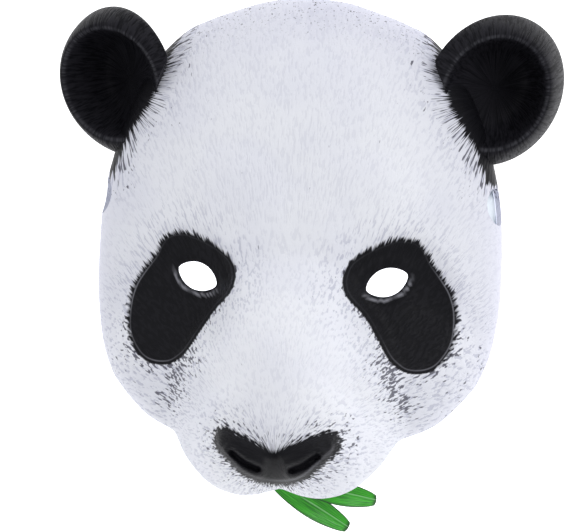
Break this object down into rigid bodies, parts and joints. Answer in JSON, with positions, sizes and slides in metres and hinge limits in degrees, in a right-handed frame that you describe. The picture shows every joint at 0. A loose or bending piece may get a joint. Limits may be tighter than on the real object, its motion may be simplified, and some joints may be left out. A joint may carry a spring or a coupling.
{
  "type": "panda half mask",
  "caption": "Moulded latex panda half mask with cupped ears, eye openings, a muzzle open under the lip, bamboo leaves and an elastic head strap.",
  "frame": {"origin": "middle of the mask's box, on the plane of its back rim, which it rests on", "axes": "+Z is the way the face looks, +Y runs from the chin to the crown, +X is the viewer's right"},
  "size_m": [0.2538, 0.265, 0.1225],
  "materials": {
    "white_latex": "matt white moulded latex with fine hair grooves",
    "black_latex": "satin black paint on latex",
    "green_leaf": "glossy green moulded leaf",
    "white_elastic": "white woven elastic"
  },
  "bodies": {
    "root": {"face_shell": "white_latex", "ear_left": "black_latex", "ear_right": "black_latex", "leaf_lower": "green_leaf", "leaf_upper": "green_leaf", "strap": "white_elastic"}
  },
  "joints": []
}
